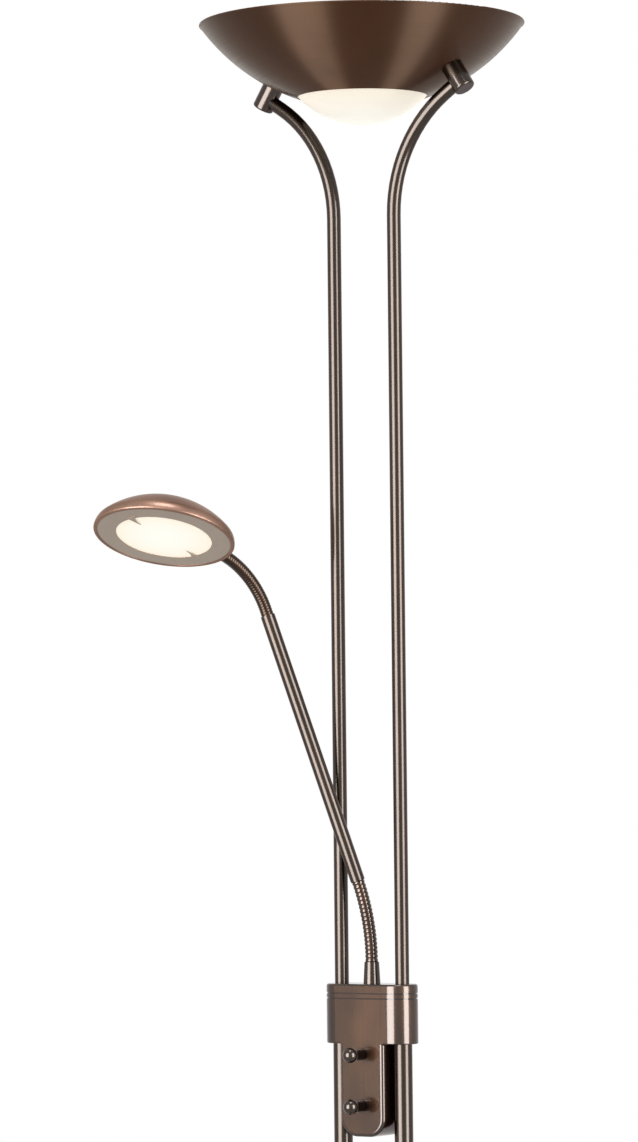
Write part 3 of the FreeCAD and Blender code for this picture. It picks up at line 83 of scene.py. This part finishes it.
class Wire:                        # an output socket that takes part in sums
    def __init__(self, tree, socket):
        self.tree = tree
        self.socket = socket

    def maths(self, operation, first, second):
        return addNode(self.tree, "ShaderNodeMath", {"operation": operation}, {0: first, 1: second})

    def __add__(self, other):
        return self.maths("ADD", self, other)

    __radd__ = __add__

    def __mul__(self, other):
        return self.maths("MULTIPLY", self, other)

    __rmul__ = __mul__

    def __sub__(self, other):
        return self.maths("SUBTRACT", self, other)

    def __rsub__(self, other):
        return self.maths("SUBTRACT", other, self)

    def __truediv__(self, other):
        return self.maths("DIVIDE", self, other)

    def __pow__(self, other):
        return self.maths("POWER", self, other)


def addNode(tree, kind, settings=None, values=None, out=0):
    node = tree.nodes.new(kind)
    for name, setting in (settings or {}).items():
        setattr(node, name, setting)
    for name, value in (values or {}).items():
        if isinstance(value, Wire):
            tree.links.new(value.socket, node.inputs[name])
        else:
            node.inputs[name].default_value = value
    return Wire(tree, node.outputs[out])


def mixColours(tree, share, first, second):
    mix = tree.nodes.new("ShaderNodeMix")
    mix.data_type = "RGBA"
    colours = [socket for socket in mix.inputs if socket.type == "RGBA"]
    for socket, value in ((mix.inputs[0], share), (colours[0], first), (colours[1], second)):
        if isinstance(value, Wire):
            tree.links.new(value.socket, socket)
        else:
            socket.default_value = value
    return Wire(tree, [socket for socket in mix.outputs if socket.type == "RGBA"][0])


def newMaterial(name, constants):
    material = bpy.data.materials.new(name)
    material.use_nodes = True
    tree = material.node_tree
    shader = tree.nodes["Principled BSDF"]
    for socket, value in constants.items():
        shader.inputs[socket].default_value = value
    return material, tree, shader


def feed(tree, shader, socket, wire):
    tree.links.new(wire.socket, shader.inputs[socket])


def objectPlace(tree, scale=(1, 1, 1)):
    place = addNode(tree, "ShaderNodeTexCoord", out="Object")
    return addNode(tree, "ShaderNodeMapping", {}, {"Vector": place, "Scale": scale})


def noise(tree, place, scale, detail=3, roughness=0.5):
    return addNode(tree, "ShaderNodeTexNoise", {},
                   {"Vector": place, "Scale": scale, "Detail": detail, "Roughness": roughness})


def bump(tree, shader, height, distance):
    normal = addNode(tree, "ShaderNodeBump", {}, {"Height": height, "Distance": distance, "Strength": 1})
    feed(tree, shader, "Normal", normal)


# finishes

bronzeLooks = {
    # deep and worn: the brown lacquer where it is thick and thin; metallic: how much bare metal shows in it
    # patchy: contrast between thick and thin; hairline: depth of the brushing in metres
    # stretch: how far the gloss is drawn out across the brushing of a turned piece
    "pole": {"deep": (0.015, 0.009, 0.005), "worn": (0.031, 0.019, 0.012), "patchy": 0.8,
             "metallic": 0.95, "roughness": 0.28, "coat": 0.6, "coatRoughness": 0.16,
             "tint": (0.5, 0.36, 0.29), "brushed": "upright", "hairline": 0, "stretch": 0},
    "bowl": {"deep": (0.046, 0.013, 0.004), "worn": (0.08, 0.027, 0.011), "patchy": 1.1,
             "metallic": 0.2, "roughness": 0.46, "coat": 0, "coatRoughness": 0.3,
             "tint": (1, 0.9, 0.68), "brushed": "turned", "hairline": 0.00001, "stretch": 1},
    "housing": {"deep": (0.011, 0.005, 0.0026), "worn": (0.038, 0.018, 0.0085), "patchy": 1.6,
                "metallic": 0.95, "roughness": 0.36, "coat": 1, "coatRoughness": 0.12,
                "tint": (0.5, 0.36, 0.29), "brushed": "upright", "hairline": 0.000006, "stretch": 0},
    # head: paler than the other bronze pieces, a painted reflection of the bright room above the dome
    "head": {"deep": (0.13, 0.072, 0.052), "worn": (0.27, 0.16, 0.116), "patchy": 1.2,
             "metallic": 0.95, "roughness": 0.42, "coat": 0.35, "coatRoughness": 0.12,
             "tint": (0.5, 0.36, 0.29), "brushed": "plain", "hairline": 0.000004, "stretch": 0},
    "small": {"deep": (0.016, 0.0095, 0.0055), "worn": (0.034, 0.02, 0.013), "patchy": 0.8,
              "metallic": 0.95, "roughness": 0.28, "coat": 0.75, "coatRoughness": 0.12,
              "tint": (0.5, 0.36, 0.29), "brushed": "plain", "hairline": 0, "stretch": 0},
}
bronzeSurface = {
    # the same for every bronze piece
    "gloss": 1.38,                     # refractive index of the thin lacquer
    "acrossBrushing": 0.25,            # turn of the drawn-out gloss, in whole turns
    "clouds": 26,                      # worn clouds per metre
    "cloudStretch": (1, 1, 0.5),       # they are twice as tall as wide
    "thinnest": 0.3,                   # how worn the lacquer is to begin with
    "hairlineWear": 0.4,
    "hairlineRoughness": 0.1,
    "cloudRoughness": 0.08,
    "groove": (0.008, 0.004, 0.003),   # painted shade, the dark inside the collar's grooves
}
brushing = {
    # noise cells per metre along x, y and z
    "upright": (900, 900, 5),
    "turned": (3, 3, 900),
    "plain": (500, 500, 500),
}


def opaque(colour):
    return (*colour, 1)


def makeBronze(name, grooves=()):
    # brown lacquer over brushed metal, with soft clouds where it is worn
    look = bronzeLooks[name]
    shared = bronzeSurface
    material, tree, shader = newMaterial(name + "Bronze", {
        "Metallic": look["metallic"],
        "IOR": shared["gloss"],
        "Coat Weight": look["coat"],
        "Coat Roughness": look["coatRoughness"],
        "Specular Tint": opaque(look["tint"]),
        "Anisotropic": look["stretch"],
        "Anisotropic Rotation": shared["acrossBrushing"],
    })
    hairlines = noise(tree, objectPlace(tree, brushing[look["brushed"]]), 1, 2)
    clouds = noise(tree, objectPlace(tree, shared["cloudStretch"]), shared["clouds"], 2)
    wear = (clouds - 0.5) * look["patchy"] + hairlines * shared["hairlineWear"] + shared["thinnest"]
    colour = mixColours(tree, wear, opaque(look["deep"]), opaque(look["worn"]))
    # painted shade: dark lines at the collar's grooves
    if grooves:
        colour = mixColours(tree, grooveMask(tree, grooves), colour, opaque(shared["groove"]))
    feed(tree, shader, "Base Color", colour)
    fine, broad = shared["hairlineRoughness"], shared["cloudRoughness"]
    roughness = hairlines * fine + clouds * broad + (look["roughness"] - (fine + broad) / 2)
    feed(tree, shader, "Roughness", roughness)
    bump(tree, shader, hairlines, look["hairline"])
    return material


def grooveMask(tree, grooves):
    # painted shade mask: 1 at the given heights, each a level with half the groove's width
    place = addNode(tree, "ShaderNodeTexCoord", out="Object")
    height = addNode(tree, "ShaderNodeSeparateXYZ", {}, {"Vector": place}, out="Z")
    mask = 0
    for level, half in grooves:
        groove = addNode(tree, "ShaderNodeMath", {"operation": "COMPARE"}, {0: height, 1: level, 2: half})
        mask = groove + mask
    return mask


neckMetals = {
    "lower": {"dark": (0.026, 0.016, 0.011), "light": (0.06, 0.038, 0.027), "roughness": 0.16, "coat": 0.5},
    "upper": {"dark": (0.02, 0.012, 0.008), "light": (0.042, 0.026, 0.018), "roughness": 0.3, "coat": 0.15},
    "coatRoughness": 0.08,
    "specks": 900,                     # per metre
    "speckDepth": 0.000003,
    "speckRoughness": 0.1,
    "patches": 30,                     # per metre
}


def makeNeckMetal(name):
    # wound neck: the ribs give bright crowns and dark valleys, the metal is only a little patchy
    look = neckMetals[name]
    material, tree, shader = newMaterial(name + "NeckMetal", {
        "Metallic": 1,
        "Coat Weight": look["coat"],
        "Coat Roughness": neckMetals["coatRoughness"],
    })
    specks = noise(tree, objectPlace(tree), neckMetals["specks"], 2)
    patches = noise(tree, objectPlace(tree), neckMetals["patches"], 3)
    feed(tree, shader, "Base Color", mixColours(tree, patches, opaque(look["dark"]), opaque(look["light"])))
    uneven = neckMetals["speckRoughness"]
    feed(tree, shader, "Roughness", specks * uneven + (look["roughness"] - uneven / 2))
    bump(tree, shader, specks, neckMetals["speckDepth"])
    return material


ringLook = {
    "dark": (0.26, 0.206, 0.162),
    "light": (0.33, 0.268, 0.216),
    "metallic": 0.85,
    "coat": 0.1,
    "smoothest": 0.36,                 # roughness between the grains
    "grainRoughness": 0.15,
    "grain": 700,                      # per metre
    "grainDepth": 0.00004,
    "haze": 25,                        # per metre
}


def makeSatinRing():
    material, tree, shader = newMaterial("satinRing", {
        "Metallic": ringLook["metallic"],
        "Coat Weight": ringLook["coat"],
    })
    grain = noise(tree, objectPlace(tree), ringLook["grain"], 3)
    haze = noise(tree, objectPlace(tree), ringLook["haze"], 3)
    colour = mixColours(tree, haze, opaque(ringLook["dark"]), opaque(ringLook["light"]))
    feed(tree, shader, "Base Color", colour)
    feed(tree, shader, "Roughness", grain * ringLook["grainRoughness"] + ringLook["smoothest"])
    bump(tree, shader, grain, ringLook["grainDepth"])
    return material


glassLook = {
    # how far the glow reaches in metres, and its strength
    "bowlGlass": {"reach": 0.075, "glow": 0.4},
    "headGlass": {"reach": 0.046, "glow": 0.4},
    "middle": (1, 0.985, 0.89),        # colour of the glow
    "edge": (1, 0.8, 0.55),
    "glassMiddle": (0.94, 0.91, 0.84),
    "glassEdge": (0.9, 0.82, 0.7),
    "falloff": 2.2,                    # how late the middle turns into the edge
    "cloudy": 0.1,
    "clouds": 18,                      # per metre
    "etching": 1600,                   # per metre
    "etchingDepth": 0.00002,
    "etchingRoughness": 0.2,
    "smoothest": 0.3,                  # roughness between the etched grains
    "refraction": 1.5,
}


def makeFrostedGlass(name, centre):
    # acid-etched glass, lit from behind: nearly white in the middle, peach towards the edge
    look = glassLook[name]
    material, tree, shader = newMaterial(name, {
        "Metallic": 0,
        "Emission Strength": look["glow"],
        "IOR": glassLook["refraction"],
    })
    etching = noise(tree, objectPlace(tree), glassLook["etching"], 2)
    clouds = noise(tree, objectPlace(tree), glassLook["clouds"], 3)
    place = addNode(tree, "ShaderNodeTexCoord", out="Object")
    away = addNode(tree, "ShaderNodeVectorMath", {"operation": "DISTANCE"},
                   {0: place, 1: centre}, out="Value")
    cloudy = glassLook["cloudy"]
    edge = (away / look["reach"]) ** glassLook["falloff"] * (1 - cloudy) + clouds * cloudy
    glass = mixColours(tree, edge, opaque(glassLook["glassMiddle"]), opaque(glassLook["glassEdge"]))
    glow = mixColours(tree, edge, opaque(glassLook["middle"]), opaque(glassLook["edge"]))
    feed(tree, shader, "Base Color", glass)
    feed(tree, shader, "Emission Color", glow)
    feed(tree, shader, "Roughness", etching * glassLook["etchingRoughness"] + glassLook["smoothest"])
    bump(tree, shader, etching, glassLook["etchingDepth"])
    return material


clearLook = {
    "refraction": 1.47,
    "dusty": (0.93, 0.96, 0.95),
    "clean": (1, 1, 1),
    "dust": 60,                        # per metre
    "dustRoughness": 0.08,
}


def makeClearGlass():
    material, tree, shader = newMaterial("clearGlass", {
        "Transmission Weight": 1,
        "IOR": clearLook["refraction"],
    })
    dust = noise(tree, objectPlace(tree), clearLook["dust"], 4)
    colour = mixColours(tree, dust, opaque(clearLook["dusty"]), opaque(clearLook["clean"]))
    feed(tree, shader, "Base Color", colour)
    feed(tree, shader, "Roughness", dust * clearLook["dustRoughness"])
    return material


plainLooks = {
    # grain: cells per metre; depth: of the grain, in metres
    "ceramic": {"dark": (0.62, 0.58, 0.5), "light": (0.8, 0.77, 0.7), "metallic": 0,
                "roughness": 0.7, "grain": 260, "depth": 0.0001},
    "castIron": {"dark": (0.03, 0.03, 0.032), "light": (0.09, 0.088, 0.085), "metallic": 0.6,
                 "roughness": 0.65, "grain": 220, "depth": 0.0004},
    "platedSteel": {"dark": (0.42, 0.4, 0.36), "light": (0.62, 0.6, 0.56), "metallic": 1,
                    "roughness": 0.32, "grain": 340, "depth": 0.00005},
    "brass": {"dark": (0.55, 0.38, 0.14), "light": (0.72, 0.55, 0.26), "metallic": 1,
              "roughness": 0.28, "grain": 340, "depth": 0.00004},
    "brightAluminium": {"dark": (0.78, 0.78, 0.77), "light": (0.88, 0.88, 0.88), "metallic": 1,
                        "roughness": 0.16, "grain": 90, "depth": 0.00008},
    "blackPlastic": {"dark": (0.012, 0.012, 0.012), "light": (0.03, 0.03, 0.03), "metallic": 0,
                     "roughness": 0.5, "grain": 600, "depth": 0.00005},
    "padRubber": {"dark": (0.015, 0.015, 0.015), "light": (0.04, 0.04, 0.038), "metallic": 0,
                  "roughness": 0.85, "grain": 500, "depth": 0.0002},
    "grainRoughness": 0.2,
}


def makePlain(name):
    # a piece with one even finish: colour, gloss and surface follow the same fine grain
    look = plainLooks[name]
    material, tree, shader = newMaterial(name, {"Metallic": look["metallic"]})
    grain = noise(tree, objectPlace(tree), look["grain"], 4, 0.6)
    feed(tree, shader, "Base Color", mixColours(tree, grain, opaque(look["dark"]), opaque(look["light"])))
    uneven = plainLooks["grainRoughness"]
    feed(tree, shader, "Roughness", grain * uneven + (look["roughness"] - uneven / 2))
    bump(tree, shader, grain, look["depth"])
    return material


def middle(node):
    low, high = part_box(node)
    return tuple((low + high) / 2)


def lowestPoint(node):
    low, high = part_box(node)
    return ((low.x + high.x) / 2, (low.y + high.y) / 2, low.z)


collarLook = {
    # the two grooves round the collar, where their shade is painted, in metres
    "belowLid": 0.0005,                # from the lid's underside down to one
    "belowTop": 0.0123,                # from the lid's top down to the other
    "halfWidth": 0.0006,
}


# heights of the painted shade lines in the collar's grooves
def collarGrooveShades():
    lidLow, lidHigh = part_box("housing_lid")
    levels = (lidLow.z - collarLook["belowLid"], lidHigh.z - collarLook["belowTop"])
    return [(level, collarLook["halfWidth"]) for level in levels]


finishes = {
    "pole": makeBronze("pole"),
    "bowl": makeBronze("bowl"),
    "housing": makeBronze("housing", collarGrooveShades()),
    "head": makeBronze("head"),
    "small": makeBronze("small"),
    "neck": makeNeckMetal("lower"),
    "upperNeck": makeNeckMetal("upper"),
    "ring": makeSatinRing(),
    "bowlGlass": makeFrostedGlass("bowlGlass", lowestPoint("bowl_glass")),
    "headGlass": makeFrostedGlass("headGlass", middle("head_glass")),
    "clear": makeClearGlass(),
    "ceramic": makePlain("ceramic"),
    "cast": makePlain("castIron"),
    "steel": makePlain("platedSteel"),
    "brass": makePlain("brass"),
    "mirror": makePlain("brightAluminium"),
    "plastic": makePlain("blackPlastic"),
    "rubber": makePlain("padRubber"),
}

# which finish each material slot of the record shows
slotFinish = {
    "bronze": "small",
    "neck_metal": "neck",
    "satin_ring": "ring",
    "frosted_glass": "bowlGlass",
    "clear_glass": "clear",
    "ceramic": "ceramic",
    "cast_weight": "cast",
    "plated_steel": "steel",
    "shaft_brass": "brass",
    "reflector_metal": "mirror",
    "black_plastic": "plastic",
    "pad_rubber": "rubber",
}
nodeFinish = {
    "bowl": "bowl",
    "base_cover": "bowl",
    "lower_pole_left": "pole",
    "lower_pole_right": "pole",
    "upper_pole_left": "pole",
    "upper_pole_right": "pole",
    "arm_tube": "pole",
    "switch_housing": "housing",
    "housing_lid": "housing",
    "housing_back": "housing",
    "head_shell": "head",
    "head_glass": "headGlass",
}


def setFinish(thing, key):
    thing.data.materials.clear()
    thing.data.materials.append(finishes[key])


def dressNodes():
    for part in frame["record"]["subparts"]:
        key = nodeFinish.get(part["node"], slotFinish[part["material_slot"]])
        setFinish(nodes[part["node"]], key)


dressNodes()
print("finishes made")


# flexible necks: a rib profile carried along the neck's path

neckLook = {
    "lower_neck": {"crown": 0.0055, "ribHeight": 0.0009, "ribPitch": 0.00356},
    "upper_neck": {"crown": 0.0054, "ribHeight": 0.0003, "ribPitch": 0.0024},
    "fullness": 0.98,                  # of a rib's round section, 1 makes the valleys sharp
    "stepsPerRib": 8,
    "sides": 40,
    "grip": 0.004,                     # how far a neck's end reaches into the next piece
}


def neckTree():
    tree = bpy.data.node_groups.new("neckRibs", "GeometryNodeTree")
    tree.interface.new_socket("Geometry", in_out="INPUT", socket_type="NodeSocketGeometry")
    for name in ("Crown Radius", "Rib Height", "Rib Pitch", "Step"):
        tree.interface.new_socket(name, in_out="INPUT", socket_type="NodeSocketFloat")
    tree.interface.new_socket("Sides", in_out="INPUT", socket_type="NodeSocketInt")
    tree.interface.new_socket("Material", in_out="INPUT", socket_type="NodeSocketMaterial")
    tree.interface.new_socket("Geometry", in_out="OUTPUT", socket_type="NodeSocketGeometry")
    entry = tree.nodes.new("NodeGroupInput")
    given = {socket.name: Wire(tree, socket) for socket in entry.outputs}
    path = addNode(tree, "GeometryNodeResampleCurve", {"mode": "LENGTH"},
                   {"Curve": given["Geometry"], "Length": given["Step"]})
    along = addNode(tree, "GeometryNodeSplineParameter", out="Length")
    turns = along / given["Rib Pitch"]
    place = addNode(tree, "ShaderNodeMath", {"operation": "FRACT"}, {0: turns}) * 2 - 1
    sunk = place * place * neckLook["fullness"]
    bulge = addNode(tree, "ShaderNodeMath", {"operation": "SQRT"}, {0: 1 - sunk})
    radius = given["Crown Radius"] - given["Rib Height"] * (1 - bulge)
    section = addNode(tree, "GeometryNodeCurvePrimitiveCircle", {},
                      {"Resolution": given["Sides"], "Radius": 1.0})
    skin = addNode(tree, "GeometryNodeCurveToMesh", {},
                   {"Curve": path, "Profile Curve": section, "Scale": radius, "Fill Caps": True})
    smooth = addNode(tree, "GeometryNodeSetShadeSmooth", {}, {"Geometry": skin})
    real = addNode(tree, "GeometryNodeRealizeInstances", {}, {"Geometry": smooth})
    painted = addNode(tree, "GeometryNodeSetMaterial", {},
                      {"Geometry": real, "Material": given["Material"]})
    end = tree.nodes.new("NodeGroupOutput")
    tree.links.new(painted.socket, end.inputs["Geometry"])
    return tree


def bakeTree(name, start, tree, values):
    # runs a geometry tree on the start object's data and keeps the plain mesh
    modifier = start.modifiers.new("tree", "NODES")
    modifier.node_group = tree
    for socket in tree.interface.items_tree:
        if socket.item_type == "SOCKET" and socket.in_out == "INPUT" and socket.name in values:
            modifier[socket.identifier] = values[socket.name]
    graph = bpy.context.evaluated_depsgraph_get()
    mesh = bpy.data.meshes.new_from_object(start.evaluated_get(graph), depsgraph=graph)
    start.modifiers.remove(modifier)
    bpy.data.objects.remove(start)
    mesh.name = name
    thing = bpy.data.objects.new(name, mesh)
    scene.collection.objects.link(thing)
    return thing


def bentPath(name, points):
    # points: place, direction, and the handle's length before and after the place
    curve = bpy.data.curves.new(name, "CURVE")
    curve.dimensions = "3D"
    curve.resolution_u = 48
    spline = curve.splines.new("BEZIER")
    spline.bezier_points.add(len(points) - 1)
    for knot, (place, way, before, after) in zip(spline.bezier_points, points):
        knot.handle_left_type = knot.handle_right_type = "FREE"
        knot.co = place
        knot.handle_left = place - way * before
        knot.handle_right = place + way * after
    thing = bpy.data.objects.new(name, curve)
    scene.collection.objects.link(thing)
    return thing


def bendReach(start, corner, end):
    # handle length that makes a Bezier stretch round, where both runs meet the corner at equal distance
    tangent = (corner - start).length
    angle = (corner - start).angle(end - corner)
    radius = tangent / math.tan(angle / 2)
    return 4 / 3 * math.tan(angle / 4) * radius


def makeNeck(tree, node, name, start, corner, end, finish):
    # a straight lead, one round bend about the corner, then a straight end inside the next piece
    look = neckLook[node]
    lead = neckLook["grip"]
    entering = (corner - start).normalized()
    leaving = (end - corner).normalized()
    tangent = (end - corner).length
    bendStart = corner - entering * tangent
    reach = bendReach(bendStart, corner, end)
    third = lead / 3
    path = bentPath(name + "Path", [
        (start - entering * lead, entering, third, ((bendStart - start).length + lead) / 3),
        (bendStart, entering, third, reach),
        (end, leaving, reach, third),
        (end + leaving * lead, leaving, third, third),
    ])
    return bakeTree(name, path, tree, {
        "Crown Radius": look["crown"],
        "Rib Height": look["ribHeight"],
        "Rib Pitch": look["ribPitch"],
        "Step": look["ribPitch"] / neckLook["stepsPerRib"],
        "Sides": neckLook["sides"],
        "Material": finishes[finish],
    })


def makeNecks():
    tree = neckTree()
    along = Vector(joints["upper_neck_swing"]["axis"])
    foot = Vector((0, 0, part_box("arm_ferrule")[1].z))
    corner = Vector(joints["lower_neck_bend"]["pos_m"])
    top = corner + along * (corner - foot).length
    lower = makeNeck(tree, "lower_neck", "lowerNeck", foot, corner, top, "neck")
    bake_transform(lower)
    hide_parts("lower_neck")

    start = Vector(joints["upper_neck_swing"]["pos_m"])
    corner = Vector(joints["upper_neck_bend"]["pos_m"])
    end = Vector(joints["head_turn"]["pos_m"])
    upper = makeNeck(tree, "upper_neck", "upperNeck", start, corner, end, "upperNeck")
    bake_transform(upper)
    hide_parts("upper_neck")


makeNecks()
print("necks wound")


# studio: white surroundings, two tall softboxes beside the camera and one above

studio = {
    "worldLevel": 0.6,                # what the room gives to matt surfaces
    "floorRadius": 7,
    "floorSides": 128,
    "floorDark": (0.83, 0.83, 0.82),
    "floorLight": (0.87, 0.87, 0.865),
    "floorLift": 0.32,                # how much paler the floor is seen than it is lit
    "softboxes": [
        # degrees from the camera's direction, distance, centre height, width, height, watts
        (-45, 2.6, 1.25, 1.8, 2.5, 210),
        (48, 2.6, 1.25, 1.3, 2.5, 150),
    ],
    "topLight": {"place": (0.4, -0.6, 3.4), "target": (0, 0, 1), "size": 0.9, "watts": 30},
}


def raysThatSee(tree):
    # 1 for what the camera sees itself, in metal or through glass
    camera, gloss, through = [addNode(tree, "ShaderNodeLightPath", out=name)
                              for name in ("Is Camera Ray", "Is Glossy Ray", "Is Transmission Ray")]
    seen = addNode(tree, "ShaderNodeMath", {"operation": "MAXIMUM"}, {0: camera, 1: gloss})
    return addNode(tree, "ShaderNodeMath", {"operation": "MAXIMUM"}, {0: seen, 1: through})


def makeWorld():
    world = bpy.data.worlds.new("studio")
    world.use_nodes = True
    scene.world = world
    tree = world.node_tree
    tree.nodes.clear()
    level = raysThatSee(tree) * (1 - studio["worldLevel"]) + studio["worldLevel"]
    background = addNode(tree, "ShaderNodeBackground", {}, {"Color": (1, 1, 1, 1), "Strength": level})
    end = tree.nodes.new("ShaderNodeOutputWorld")
    tree.links.new(background.socket, end.inputs["Surface"])


def makeFloor():
    sides, radius = studio["floorSides"], studio["floorRadius"]
    mesh = bpy.data.meshes.new("floor")
    turns = [2 * math.pi * side / sides for side in range(sides)]
    edge = [(radius * math.cos(turn), radius * math.sin(turn), 0) for turn in turns]
    mesh.from_pydata(edge, [], [tuple(range(sides))])
    floor = bpy.data.objects.new("floor", mesh)
    scene.collection.objects.link(floor)
    material, tree, shader = newMaterial("paleFloor", {
        "Roughness": 1,
        "Specular IOR Level": 0,
        "Emission Strength": studio["floorLift"],
    })
    grain = noise(tree, objectPlace(tree), 30, 3)
    colour = mixColours(tree, grain, opaque(studio["floorDark"]), opaque(studio["floorLight"]))
    feed(tree, shader, "Base Color", colour)
    feed(tree, shader, "Emission Color", mixColours(tree, raysThatSee(tree), (0, 0, 0, 1), (1, 1, 1, 1)))
    mesh.materials.append(material)


def aimLight(name, place, target, width, height, watts, glossOnly=False):
    lamp = bpy.data.lights.new(name, "AREA")
    lamp.shape = "RECTANGLE"
    lamp.size = width
    lamp.size_y = height
    lamp.energy = watts
    thing = bpy.data.objects.new(name, lamp)
    thing.visible_diffuse = not glossOnly
    thing.visible_camera = False
    thing.location = place
    thing.rotation_euler = (target - place).to_track_quat("-Z", "Y").to_euler()
    scene.collection.objects.link(thing)


def makeLights():
    for index, (turn, distance, height, width, tall, watts) in enumerate(studio["softboxes"]):
        angle = math.radians(shot["azimuth"] + turn)
        place = Vector((distance * math.sin(angle), -distance * math.cos(angle), height))
        aimLight(f"softbox{index}", place, Vector((0, 0, height)), width, tall, watts, glossOnly=True)
    top = studio["topLight"]
    aimLight("topLight", Vector(top["place"]), Vector(top["target"]), top["size"], top["size"], top["watts"])


makeWorld()
makeFloor()
makeLights()
scene.view_settings.view_transform = "Standard"
print("studio lit")
